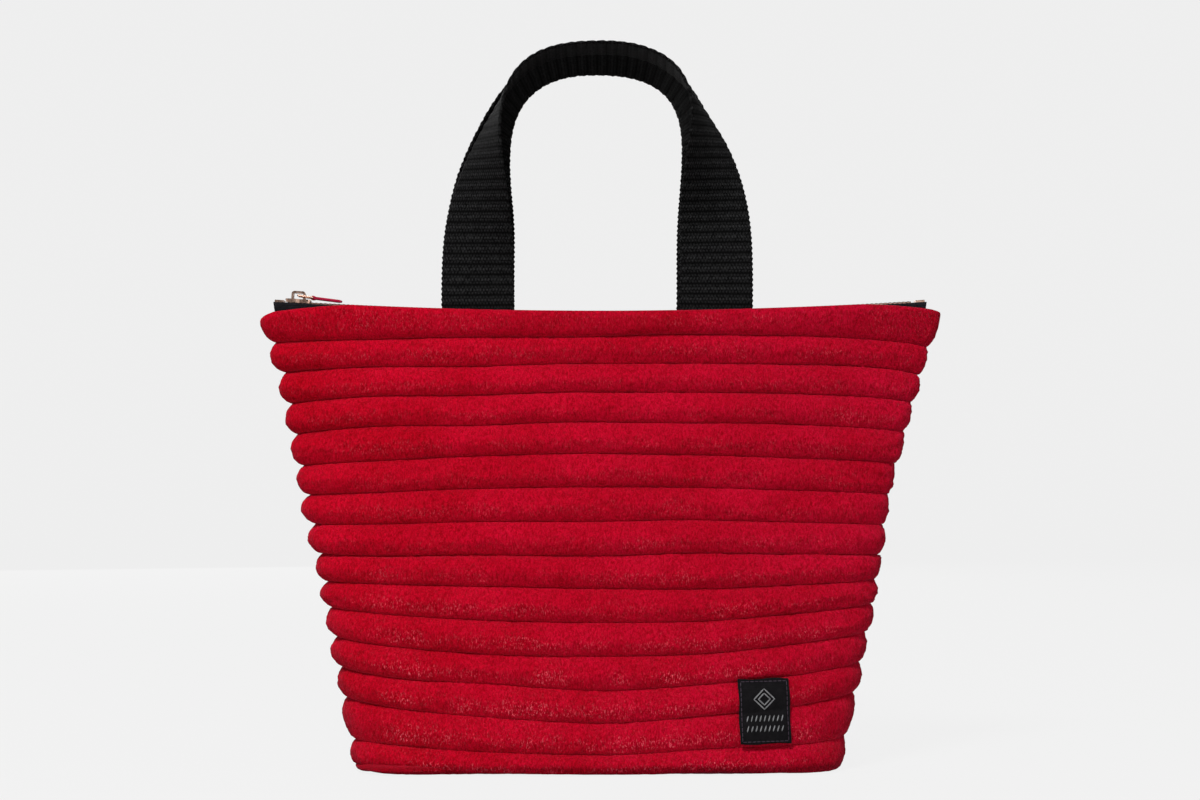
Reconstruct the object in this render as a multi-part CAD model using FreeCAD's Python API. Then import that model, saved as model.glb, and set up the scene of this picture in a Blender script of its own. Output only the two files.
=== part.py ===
import FreeCAD, Part

# A small zip-top tote bag in padded plush, with two webbing handles and a sewn-on label.
# The bag stands on a boxed base and tapers up to a closed zip that sags a little in the middle.
# Millimetres. The origin is the centre of the base on the ground: +X along the zip, -Y the front, +Z up.
import math
import os

Vector = FreeCAD.Vector

# Outer shape of the bag
bag_height = 240.0
shoulder_height = 214.0
top_half_width, base_half_width = 179.0, 127.5
top_half_depth, base_half_depth = 12.5, 48.5
top_corner_radius, base_corner_radius = 10.0, 26.0
seam_gap = 0.15

# Layers of the wall, as distances in from the outer surface
plush_layer = (0.0, 4.5)
foam_layer = (4.7, 7.6)
lining_layer = (7.9, 8.7)

# Heights of the layers of the base, and where each wall layer starts and stops
base_panel_z = (0.0, 5.0)
base_foam_z = (5.3, 8.2)
base_board_z = (8.5, 10.5)
base_lining_z = (10.8, 11.6)
plush_wall_z = (5.3, bag_height)
foam_wall_z = (8.5, bag_height - 30.0)
lining_wall_z = (11.9, bag_height - 7.0)

# Webbing handles
webbing_width, webbing_thickness = 38.0, 2.0
tail_length = 22.0
front_handle_x, front_half_spacing = -2.0, 62.6
back_handle_x, back_half_spacing = -2.9, 62.1
handle_top_x = -2.4
leg_from_middle = 6.8
handle_gap = 0.4
handle_rise = 133.2
leg_bow, top_pull = 1.4, 45.8
left_bow_height, right_bow_height = 108.0, 113.0
twist_length, front_twist_deg, back_twist_deg = 125.8, 88.0, 79.3
right_twist_delay = 1.5
ridge_clearance = 1.4
handle_sections = 40

# Zip: a chain of teeth on two tapes, lying on a large arc
zip_middle_z = 237.4
zip_arc_radius = 2700.0
tape_left, tape_right = -173.6, 172.6
tape_thickness, tape_edge, tape_side, tape_drop = 0.6, 2.0, 5.5, 14.6
tape_end_slant = 0.22
tooth_pitch, tooth_length = 2.4, 1.1
tooth_heel, tooth_tip, tooth_half_height = -2.9, 0.9, 1.3
jaw_end, jaw_half_slot = -1.9, 0.36
first_tooth, teeth_per_side = -160.2, 135
stop_length = 4.7
top_stop_left, bottom_stop_left = -171.9, 165.9

# Slider, measured from its own left end
slider_left, slider_length = -166.3, 13.0
nose_half_width, tail_half_width = 4.4, 3.9
channel_half_height, channel_half_width = 1.6, 3.3
plate_thickness, flange_slot = 1.0, 0.65
diamond_start, diamond_length, diamond_half_width = 0.7, 4.6, 1.5
crown_half_length, crown_half_width, crown_height, crown_wall = 3.7, 1.3, 4.4, 1.25

# Pull: a wire link with a folded tab
pivot_from_left, pivot_above_plate = 6.4, 2.0
wire_radius, link_half_width, link_length = 0.6, 2.3, 7.6
tab_length, tab_half_width, tab_thickness, tab_eye = 15.5, 1.6, 0.5, 0.68
pull_drop_deg = 5.6

# Label
label_width, label_height, label_thickness = 25.8, 32.4, 0.8
label_x, label_z, label_gap = 83.0, 32.0, 0.4
stitch_length, stitch_width, stitch_thickness, stitch_inset = 2.0, 0.5, 0.25, 1.4

zip_arc_centre_z = zip_middle_z + zip_arc_radius
plate_top = channel_half_height + plate_thickness


def half_width(z):
    """Half the width of the bag at height z."""
    return base_half_width + (top_half_width - base_half_width) * z / bag_height


def half_depth(z):
    """Half the depth of the bag: tapering up to the shoulder, then even."""
    share = min(1.0, z / shoulder_height)
    return base_half_depth + (top_half_depth - base_half_depth) * share


def corner_radius(z):
    """Radius of the rounded upright corners at height z."""
    share = min(1.0, z / shoulder_height)
    return base_corner_radius + (top_corner_radius - base_corner_radius) * share


def half_outline(z, inset, side):
    """Edges of half a rounded rectangle at height z, from the +X seam round to the -X seam."""
    w = half_width(z) - inset
    d = half_depth(z) - inset
    r = corner_radius(z) - inset
    k = r * (1.0 - math.sqrt(0.5))
    right = [(w, seam_gap), (w, d - r), (w - k, d - k), (w - r, d)]
    left = [(-x, y) for x, y in reversed(right)]
    p = [Vector(x, side * y, z) for x, y in right + left]
    return [
        Part.LineSegment(p[0], p[1]).toShape(),
        Part.Arc(p[1], p[2], p[3]).toShape(),
        Part.LineSegment(p[3], p[4]).toShape(),
        Part.Arc(p[4], p[5], p[6]).toShape(),
        Part.LineSegment(p[6], p[7]).toShape(),
    ]


def wall_wire(z, layer, side):
    """Closed outline of one wall layer at height z."""
    outer = half_outline(z, layer[0], side)
    inner = half_outline(z, layer[1], side)
    w_out, w_in = (half_width(z) - inset for inset in layer)
    right = Part.LineSegment(Vector(w_in, side * seam_gap, z), Vector(w_out, side * seam_gap, z)).toShape()
    left = Part.LineSegment(Vector(-w_out, side * seam_gap, z), Vector(-w_in, side * seam_gap, z)).toShape()
    return Part.Wire([right, *outer, left, *reversed(inner)])


def wall(heights, layer, side):
    """One layer of the front (side -1) or back (side 1) wall, from side seam to side seam."""
    low, high = heights
    if high <= shoulder_height:
        return Part.makeLoft([wall_wire(low, layer, side), wall_wire(high, layer, side)], True, True)
    middle = wall_wire(shoulder_height, layer, side)
    lower = Part.makeLoft([wall_wire(low, layer, side), middle], True, True)
    upper = Part.makeLoft([middle, wall_wire(high, layer, side)], True, True)
    return lower.fuse(upper)


def base_layer(heights, inset):
    """A flat layer of the base with rounded upright corners."""
    low, high = heights
    w = half_width(low) - inset
    d = half_depth(high) - inset
    plate = Part.makeBox(2 * w, 2 * d, high - low, Vector(-w, -d, low))
    upright = [e for e in plate.Edges if abs(e.tangentAt(e.FirstParameter).z) > 0.9]
    return plate.makeFillet(corner_radius(low) - inset, upright)


def handle_line(t, half_spacing, bow_height):
    """Point and direction on one half of a handle's middle line, as x, rise, dx, drise, drawn to the left."""
    ends = [(-half_spacing, 0.0), (-half_spacing - leg_bow, bow_height), (-top_pull, handle_rise),
            (0.0, handle_rise)]
    share = [(1 - t) ** 3, 3 * t * (1 - t) ** 2, 3 * t * t * (1 - t), t ** 3]
    slope = [3 * (1 - t) ** 2, 6 * t * (1 - t), 3 * t * t]
    x, rise = (sum(s * e[i] for s, e in zip(share, ends)) for i in (0, 1))
    dx, drise = (sum(s * (ends[k + 1][i] - ends[k][i]) for k, s in enumerate(slope)) for i in (0, 1))
    size = math.hypot(dx, drise)
    return x, rise, dx / size, drise / size


def handle_section(t, centre_x, half_spacing, side):
    """Cross-section of the webbing at t: 0 at the left foot, 1 at the top, 2 at the right foot."""
    right, front = t > 1, side < 0
    bow_height = right_bow_height if right else left_bow_height
    x, rise, dx, drise = handle_line(2 - t if right else t, half_spacing, bow_height)
    if right:
        x, drise = -x, -drise
    share = min(1.0, rise / twist_length)
    turned = (share * share * (3 - 2 * share)) ** (right_twist_delay if right and front else 1.0)
    twist = math.radians(front_twist_deg if front else back_twist_deg) * turned
    reach = webbing_width / 2
    lean = (leg_from_middle ** 4 + (ridge_clearance + reach * math.sin(twist)) ** 4) ** 0.25
    sway = (handle_top_x - centre_x) * (rise / handle_rise) ** 2
    centre = Vector(centre_x + sway + x, side * lean, bag_height + handle_gap + rise)
    along = Vector(dx, 0, drise)
    across = Vector(-drise, 0, dx) * math.cos(twist) + Vector(0, -side * math.sin(twist), 0)
    a = across * reach
    b = along.cross(across) * (webbing_thickness / 2)
    return Part.makePolygon([centre + a + b, centre + a - b, centre - a - b, centre - a + b, centre + a + b])


def handle(centre_x, half_spacing, side):
    """A carrying strap that stands flat at its feet and turns almost edge-on at the top."""
    steps = [2.0 * k / handle_sections for k in range(handle_sections + 1)]
    return Part.makeLoft([handle_section(t, centre_x, half_spacing, side) for t in steps], True, True)


def handle_tails(centre_x, half_spacing, side):
    """The two ends of a strap, sewn in between the plush and the zip tape."""
    y = side * leg_from_middle - webbing_thickness / 2
    tails = []
    for x in (-half_spacing, half_spacing):
        corner = Vector(centre_x + x - webbing_width / 2, y, bag_height - tail_length)
        tails.append(Part.makeBox(webbing_width, webbing_thickness, tail_length, corner))
    return Part.Compound(tails)


def along_zip(shape, x):
    """A shape made about the middle of the zip, moved along the arc of the chain by x."""
    moved = shape.copy()
    moved.rotate(Vector(0, 0, zip_arc_centre_z), Vector(0, 1, 0), -math.degrees(x / zip_arc_radius))
    return moved


def mirrored(shape, side):
    """The shape as drawn for the front, or its mirror image for the back."""
    return shape if side < 0 else shape.mirror(Vector(0, 0, 0), Vector(0, 1, 0))


def zip_tape(side):
    """Half of the woven tape: level at the teeth, then turned down into the seam."""
    t = tape_thickness
    outline = [(tape_edge, t / 2), (tape_side - 0.7, t / 2), (tape_side, -0.8), (tape_side, -tape_drop),
               (tape_side - t, -tape_drop), (tape_side - t, -0.8), (tape_side - 0.9, -t / 2), (tape_edge, -t / 2)]
    corners = [Vector(0, -y, zip_middle_z + z) for y, z in outline]
    face = along_zip(Part.Face(Part.makePolygon([*corners, corners[0]])), tape_right + 2)
    sweep = math.degrees((tape_right - tape_left + 4) / zip_arc_radius)
    strip = face.revolve(Vector(0, 0, zip_arc_centre_z), Vector(0, 1, 0), sweep)
    return mirrored(strip.common(tape_trim()), side)


def tape_trim():
    """A block whose ends slant as the side seams do, which trims the ends of the tape."""
    low, high = zip_middle_z - tape_drop - 1, zip_middle_z + 12
    slant = tape_end_slant * (high - low)
    ends = [(tape_left, high), (tape_right, high), (tape_right - slant, low), (tape_left + slant, low)]
    corners = [Vector(x, -20, z) for x, z in ends]
    return Part.Face(Part.makePolygon([*corners, corners[0]])).extrude(Vector(0, 40, 0))


def clamp(length, heel, tip, half_height):
    """A metal block squeezed on to the edge of the front tape, starting at the middle of the zip."""
    block = Part.makeBox(length, tip - heel, 2 * half_height, Vector(0, heel, zip_middle_z - half_height))
    edges = [e for e in block.Edges if abs(e.tangentAt(e.FirstParameter).x) > 0.9]
    block = block.makeChamfer(0.35, edges)
    slot = Part.makeBox(length + 2, 5, 2 * jaw_half_slot, Vector(-1, jaw_end - 5, zip_middle_z - jaw_half_slot))
    return block.cut(slot)


def teeth(side):
    """A row of separate metal teeth. The back row stands half a pitch along, so the rows mesh."""
    tooth = mirrored(clamp(tooth_length, tooth_heel, tooth_tip, tooth_half_height), side)
    start = first_tooth + (0 if side < 0 else tooth_pitch / 2)
    return Part.Compound([along_zip(tooth, start + k * tooth_pitch) for k in range(teeth_per_side)])


def top_stops():
    """The two stops that the closed slider rests against, one on each tape."""
    stop = clamp(stop_length, -3.4, -0.5, 1.6)
    return Part.Compound([along_zip(mirrored(stop, side), top_stop_left) for side in (-1, 1)])


def bottom_stop():
    """The stop that joins both tapes at the far end of the zip."""
    block = Part.makeBox(stop_length, 6.8, 3.2, Vector(0, -3.4, zip_middle_z - 1.6))
    edges = [e for e in block.Edges if abs(e.tangentAt(e.FirstParameter).x) > 0.9]
    block = block.makeFillet(0.6, edges)
    for side in (-1, 1):
        slot = Part.makeBox(stop_length + 2, 5, 2 * jaw_half_slot,
                            Vector(-1, jaw_end - 5, zip_middle_z - jaw_half_slot))
        block = block.cut(mirrored(slot, side))
    return along_zip(block, bottom_stop_left)


def slider_plan(z_low, z_high):
    """A shield-shaped block, wider at the nose where the two rows of teeth part."""
    nose, tail = nose_half_width, tail_half_width
    end = slider_length
    outline = [(0, nose - 1.4), (1.4, nose), (5.5, nose), (7.5, tail), (end - 1.0, tail), (end, tail - 1.0)]
    outline += [(x, -y) for x, y in reversed(outline)]
    corners = [Vector(x, y, zip_middle_z + z_low) for x, y in outline]
    return Part.Face(Part.makePolygon([*corners, corners[0]])).extrude(Vector(0, 0, z_high - z_low))


def slider_flanges(z_low, z_high):
    """The turned-in rims that keep the teeth inside the slider."""
    channel = Part.makeBox(slider_length + 2, 2 * channel_half_width, z_high - z_low,
                           Vector(-1, -channel_half_width, zip_middle_z + z_low))
    return slider_plan(z_low, z_high).cut(channel)


def slider_crown():
    """The bridge on top of the slider that holds the pull."""
    foot_z = zip_middle_z + plate_top - 0.2
    left = pivot_from_left - crown_half_length
    block = Part.makeBox(2 * crown_half_length, 2 * crown_half_width, crown_height + 0.2,
                         Vector(left, -crown_half_width, foot_z))
    rim = [e for e in block.Edges if abs(e.tangentAt(e.FirstParameter).y) > 0.9 and e.CenterOfMass.z > foot_z + 1]
    block = block.makeFillet(1.6, rim)
    window = Part.makeBox(2 * (crown_half_length - crown_wall), 2 * crown_half_width + 2,
                          crown_height - crown_wall,
                          Vector(left + crown_wall, -crown_half_width - 1, zip_middle_z + plate_top))
    return block.cut(window)


def slider():
    """Two plates with turned-in flanges, joined at the nose by the wedge that parts the teeth."""
    inner, slot = channel_half_height, flange_slot
    body = slider_plan(inner, plate_top).fuse(slider_plan(-plate_top, -inner))
    body = body.fuse(slider_flanges(slot, inner)).fuse(slider_flanges(-inner, -slot))
    a, b = diamond_start, diamond_start + diamond_length
    wedge = [(a, 0), (a + 1.6, -diamond_half_width), (b, 0), (a + 1.6, diamond_half_width)]
    corners = [Vector(x, y, zip_middle_z - inner - 0.2) for x, y in wedge]
    post = Part.Face(Part.makePolygon([*corners, corners[0]])).extrude(Vector(0, 0, 2 * inner + 0.4))
    return along_zip(body.fuse(post).fuse(slider_crown()).removeSplitter(), slider_left)


def placed_pull(shape):
    """A pull piece drawn flat from the pivot towards +X, set down on the slider."""
    moved = shape.copy()
    moved.rotate(Vector(0, 0, 0), Vector(0, 1, 0), pull_drop_deg)
    moved.translate(Vector(pivot_from_left, 0, zip_middle_z + plate_top + pivot_above_plate))
    return along_zip(moved, slider_left)


def pull_link():
    """A closed wire loop: one bar under the crown, the other inside the tab."""
    corners = [(0, -link_half_width), (link_length, -link_half_width),
               (link_length, link_half_width), (0, link_half_width)]
    loop = None
    for k, (x, y) in enumerate(corners):
        x2, y2 = corners[(k + 1) % 4]
        start = Vector(x, y, 0)
        run = Vector(x2 - x, y2 - y, 0)
        bar = Part.makeCylinder(wire_radius, run.Length, start, run).fuse(Part.makeSphere(wire_radius, start))
        loop = bar if loop is None else loop.fuse(bar)
    return placed_pull(loop)


def pull_tab():
    """A strip folded round the outer bar of the link and sewn flat behind it."""
    eye = tab_eye + tab_thickness
    loop = Part.makeCylinder(eye, 2 * tab_half_width, Vector(link_length, -tab_half_width, 0), Vector(0, 1, 0))
    flat = Part.makeBox(tab_length, 2 * tab_half_width, 2 * tab_thickness,
                        Vector(link_length, -tab_half_width, -tab_thickness))
    hole = Part.makeCylinder(tab_eye, 2 * tab_half_width + 2,
                             Vector(link_length, -tab_half_width - 1, 0), Vector(0, 1, 0))
    return placed_pull(loop.fuse(flat).cut(hole).removeSplitter())


def on_front_wall(shape):
    """A piece drawn flat with its middle at the origin and +Z outwards, set on the front wall."""
    lean = math.degrees(math.atan((base_half_depth - top_half_depth) / shoulder_height))
    moved = shape.copy()
    moved.rotate(Vector(0, 0, 0), Vector(1, 0, 0), 90 - lean)
    moved.translate(Vector(label_x, -half_depth(label_z), label_z))
    return moved


def label():
    """The woven label, lying just off the plush."""
    corner = Vector(-label_width / 2, -label_height / 2, label_gap)
    return on_front_wall(Part.makeBox(label_width, label_height, label_thickness, corner))


def label_stitching():
    """A line of separate stitches round the edge of the label."""
    w, h = label_width / 2 - stitch_inset, label_height / 2 - stitch_inset
    z = label_gap + label_thickness
    half_l, half_w = stitch_length / 2, stitch_width / 2
    stitches = []
    across, down = 8, 10
    for k in range(across):
        x = -w + (2 * k + 1) * w / across
        for y in (-h, h):
            corner = Vector(x - half_l, y - half_w, z)
            stitches.append(Part.makeBox(stitch_length, stitch_width, stitch_thickness, corner))
    for k in range(down):
        y = -h + (2 * k + 1) * h / down
        for x in (-w, w):
            corner = Vector(x - half_w, y - half_l, z)
            stitches.append(Part.makeBox(stitch_width, stitch_length, stitch_thickness, corner))
    return on_front_wall(Part.Compound(stitches))


pieces = {
    "front_panel": wall(plush_wall_z, plush_layer, -1),
    "back_panel": wall(plush_wall_z, plush_layer, 1),
    "base_panel": base_layer(base_panel_z, 0.0),
    "foam_front": wall(foam_wall_z, foam_layer, -1),
    "foam_back": wall(foam_wall_z, foam_layer, 1),
    "foam_base": base_layer(base_foam_z, foam_layer[0]),
    "base_board": base_layer(base_board_z, lining_layer[0]),
    "lining_front": wall(lining_wall_z, lining_layer, -1),
    "lining_back": wall(lining_wall_z, lining_layer, 1),
    "lining_base": base_layer(base_lining_z, lining_layer[0]),
    "zip_tape_front": zip_tape(-1),
    "zip_tape_back": zip_tape(1),
    "teeth_front": teeth(-1),
    "teeth_back": teeth(1),
    "top_stops": top_stops(),
    "bottom_stop": bottom_stop(),
    "slider": slider(),
    "pull_link": pull_link(),
    "pull_tab": pull_tab(),
    "front_handle": handle(front_handle_x, front_half_spacing, -1),
    "back_handle": handle(back_handle_x, back_half_spacing, 1),
    "front_handle_tails": handle_tails(front_handle_x, front_half_spacing, -1),
    "back_handle_tails": handle_tails(back_handle_x, back_half_spacing, 1),
    "label": label(),
    "label_stitching": label_stitching(),
}

os.makedirs("parts", exist_ok=True)
for name, shape in pieces.items():
    solids = shape.Solids
    box = shape.BoundBox
    print(name, len(solids), "solids", round(sum(s.Volume for s in solids) / 1000, 2), "cm3",
          "valid" if shape.isValid() else "INVALID",
          [round(v, 1) for v in (box.XMin, box.XMax, box.YMin, box.YMax, box.ZMin, box.ZMax)])
    shape.exportStep(os.path.join("parts", name + ".step"))
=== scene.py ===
import math

import bpy
import numpy as np
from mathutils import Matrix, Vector


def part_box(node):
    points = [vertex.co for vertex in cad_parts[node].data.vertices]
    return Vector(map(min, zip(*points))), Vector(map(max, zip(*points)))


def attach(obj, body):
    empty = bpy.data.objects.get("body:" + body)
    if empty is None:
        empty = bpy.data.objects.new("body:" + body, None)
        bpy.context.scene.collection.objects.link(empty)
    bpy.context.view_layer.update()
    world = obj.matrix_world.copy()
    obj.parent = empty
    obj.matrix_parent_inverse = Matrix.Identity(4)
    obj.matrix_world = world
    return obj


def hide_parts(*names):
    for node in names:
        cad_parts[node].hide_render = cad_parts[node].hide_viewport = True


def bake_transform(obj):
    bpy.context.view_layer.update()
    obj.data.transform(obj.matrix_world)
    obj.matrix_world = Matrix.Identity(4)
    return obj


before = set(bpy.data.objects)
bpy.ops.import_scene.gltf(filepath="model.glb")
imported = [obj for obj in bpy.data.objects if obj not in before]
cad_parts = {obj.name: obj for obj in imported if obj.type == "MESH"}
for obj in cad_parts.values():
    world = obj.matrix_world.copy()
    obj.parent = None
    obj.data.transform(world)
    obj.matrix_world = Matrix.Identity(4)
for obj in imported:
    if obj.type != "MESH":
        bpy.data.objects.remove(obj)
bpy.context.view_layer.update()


# ---------------------------------------------------------------- sizes, in metres, from the CAD frame
def edge(node, end, axis):
    """One coordinate of a CAD node's box: end 0 is the low corner, 1 the high one."""
    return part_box(node)[end]["xyz".index(axis)]


TOP_Z = edge("front_panel", 1, "z")
TOP_HALF_WIDTH = edge("front_panel", 1, "x")
BASE_HALF_WIDTH = edge("base_panel", 1, "x")
TOP_HALF_DEPTH, BASE_HALF_DEPTH = 0.0125, 0.0485
SHOULDER_Z = 0.214

# Camera and stage
CAMERA_X, CAMERA_DISTANCE, CAMERA_HEIGHT, CAMERA_SHIFT = -0.0005, 1.1, 0.150, 0.0658
SENSOR_WIDTH, FRAME_WIDTH = 36.0, 0.6336

# Ribbed plush, from the lowest valley to the top edge. Rib widths are relative: the ribs in the middle are
# the widest, and they narrow by so much towards the base and towards the top.
RIBS = 15
LOWEST_VALLEY, TOP_EDGE = 0.0006, 0.2372
RIB_WIDTH, RIB_NARROWING_BELOW, RIB_NARROWING_ABOVE, LOWEST_RIB_WIDTH = 18.0, 2.2, 4.6, 11.0
CREST_PROUD, RIB_RELIEF = 0.0010, 0.0036
# The hem at the lower left: how far it lifts, and how far the base spreads out from under it
HEM_LIFT, BASE_SPREAD = 0.0030, 0.0050
CORNER_X, CORNER_REACH, CORNER_PULL = 0.118, 0.034, 0.25
BASE_RIBS, BASE_RIB_RELIEF = 6, 0.0022
INNER_OFFSET = -0.0046
RIB_DROOP = 0.0012
SEAM_OVERLAP = 0.0002
# Unevenness of the plush: how much, and over what distance
WANDER, PUFF, DENT = (0.0011, 0.055), (0.0007, 0.045), (0.0005, 0.014)
TUFT, FLEECE, RAGGED = (0.00030, 0.0036), (0.00026, 0.0014), (0.0008, 0.0026)
RAGGED_REACH = 0.02
# Ribs are deeper and rounder at the left seam and flatter at the right one: share of the relief, reach
DEEPER_LEFT, FLATTER_RIGHT = (0.86, 0.030), (0.25, 0.040)
# How far the plush is drawn in at its left and right seams, and the distance over which it is
PINCH_LEFT, PINCH_RIGHT = (0.0012, 0.003), (0.0024, 0.0035)
THINNEST_PLUSH = 0.0007
EDGE_ABOVE_ZIP = 0.0012
PLUSH_BASE_THICKNESS, PLUSH_BASE_INSET, INNER_BASE_INSET = 0.0050, 0.0052, 0.0084
FOAM_INSETS, LINING_INSETS = (0.0049, 0.0075), (0.0080, 0.0087)
# How far the rib lines stand above the middle of the panel at its side seams, at a few heights
RISE_HEIGHTS = [0.0, 0.012, 0.026, 0.050, 0.076, 0.093, 0.112, 0.146, 0.170, 0.200, 0.2246, 0.2372]
RISE_AT_SEAM = [0.0, 0.006, 0.0115, 0.0105, 0.0075, 0.003, 0.0, -0.0035, -0.0055, -0.005, -0.0020, 0.0052]
RISE_RIGHT, RISE_LEFT = 1.15, 0.95
BACK_SLIP_RIGHT, BACK_SLIP_LEFT = 0.004, 0.001
# The upper rib lines rise towards the +X side, then fall near its seam
RIGHT_LIFT, RIGHT_LIFT_Z, RIGHT_LIFT_REACH = 0.0024, 0.215, 0.045
CORNER_FALL, CORNER_FALL_Z, CORNER_FALL_REACH = 0.0045, 0.222, 0.022
# The upper edge: it follows the zip, then falls away towards each end (left, right)
EDGE_FOLLOWS, EDGE_FALL = (0.130, 0.134), (0.0054, 0.0036)
CORNER_WIDTH, CORNER_DROP = (0.0075, 0.0050), (0.0085, 0.0030)
# How far the +X side and the -X side hang in at a few heights
RIGHT_HEIGHTS = [0.0, 0.010, 0.033, 0.059, 0.084, 0.103, 0.122, 0.140, 0.160, 0.185, 0.210, 0.225, 0.240]
RIGHT_INWARD = [0.0030, 0.0034, 0.0038, 0.0036, 0.0034, 0.0048, 0.0056, 0.0068, 0.0064, 0.0046, 0.0032,
                0.0008, 0.0]
LEFT_HEIGHTS = [0.0, 0.030, 0.070, 0.110, 0.150, 0.205, 0.225]
LEFT_INWARD = [0.0, 0.0008, 0.0016, 0.0022, 0.0018, 0.0026, 0.0]

# Webbing
WEB_WIDTH, WEB_THICKNESS = 0.038, 0.0019
WEAVE_ROW, WEAVE_THREAD = 0.0018, 0.0017
WEB_RIB_PITCH, WEB_RIB_RELIEF = 0.0054, 0.00048
LEG_FROM_MIDDLE = 0.0068
HANDLE_GAP, HANDLE_RISE = 0.0004, 0.1332
LEG_BOW, TOP_PULL = 0.0014, 0.0458
LEFT_BOW_HEIGHT, RIGHT_BOW_HEIGHT = 0.108, 0.113
TWIST_LENGTH, FRONT_TWIST, BACK_TWIST = 0.1258, math.radians(88), math.radians(79.3)
RIGHT_TWIST_DELAY = 1.5
RIDGE_CLEARANCE, HANDLE_TOP_X = 0.0014, -0.0024
TAIL_LENGTH = 0.021

# Zip
ZIP_MIDDLE_Z, ZIP_RADIUS = 0.2374, 2.700
TAPE_LEFT, TAPE_RIGHT, TAPE_END_SLANT = -0.1723, 0.1713, 0.22


# ---------------------------------------------------------------- helpers
def smooth_noise(x, y, scale, seed):
    """Smooth random values from -1 to 1 that vary over about scale. x and y are never negative."""
    gx, gy = np.broadcast_arrays(np.asarray(x) / scale, np.asarray(y) / scale)
    ix, iy = np.floor(gx).astype(int), np.floor(gy).astype(int)
    lattice = np.random.default_rng(seed).uniform(-1, 1, (ix.max() + 2, iy.max() + 2))
    fx, fy = gx - ix, gy - iy
    fx, fy = fx * fx * (3 - 2 * fx), fy * fy * (3 - 2 * fy)
    low = lattice[ix, iy] * (1 - fx) + lattice[ix + 1, iy] * fx
    high = lattice[ix, iy + 1] * (1 - fx) + lattice[ix + 1, iy + 1] * fx
    return low * (1 - fy) + high * fy


def uneven(amount_and_spacing, x, y, seed):
    amount, spacing = amount_and_spacing
    return amount * smooth_noise(x, y, spacing, seed)


def fading(amount_and_reach, distance):
    """An amount that is whole at distance 0 and fades smoothly beyond the reach."""
    amount, reach = amount_and_reach
    return amount * np.exp(-(distance / reach) ** 2)


def mesh_object(name, points, faces, uv=None):
    mesh = bpy.data.meshes.new(name)
    mesh.from_pydata([tuple(p) for p in points], [], faces)
    mesh.polygons.foreach_set("use_smooth", [True] * len(mesh.polygons))
    if uv is not None:
        layer = mesh.uv_layers.new(name="Weave")
        corner = np.zeros(len(mesh.loops), dtype=np.int32)
        mesh.loops.foreach_get("vertex_index", corner)
        layer.data.foreach_set("uv", np.asarray(uv, dtype=np.float32)[corner].ravel())
    mesh.update()
    obj = bpy.data.objects.new(name, mesh)
    bpy.context.scene.collection.objects.link(obj)
    return obj


def grid_faces(rows, columns, wrap_rows, wrap_columns, flip=False):
    faces = []
    for i in range(rows if wrap_rows else rows - 1):
        i2 = (i + 1) % rows
        for j in range(columns if wrap_columns else columns - 1):
            j2 = (j + 1) % columns
            face = (i * columns + j, i * columns + j2, i2 * columns + j2, i2 * columns + j)
            faces.append(face[::-1] if flip else face)
    return faces


def tube(name, points, uv=None, flip=False):
    """A closed form: every row is a closed ring, and the first and last rings are capped."""
    rows, columns = points.shape[:2]
    faces = grid_faces(rows, columns, False, True, flip)
    first, last = list(range(columns)), [(rows - 1) * columns + j for j in range(columns)]
    faces.append(tuple(first if flip else first[::-1]))
    faces.append(tuple(last[::-1] if flip else last))
    return mesh_object(name, points.reshape(-1, 3), faces, None if uv is None else uv.reshape(-1, 2))


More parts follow.
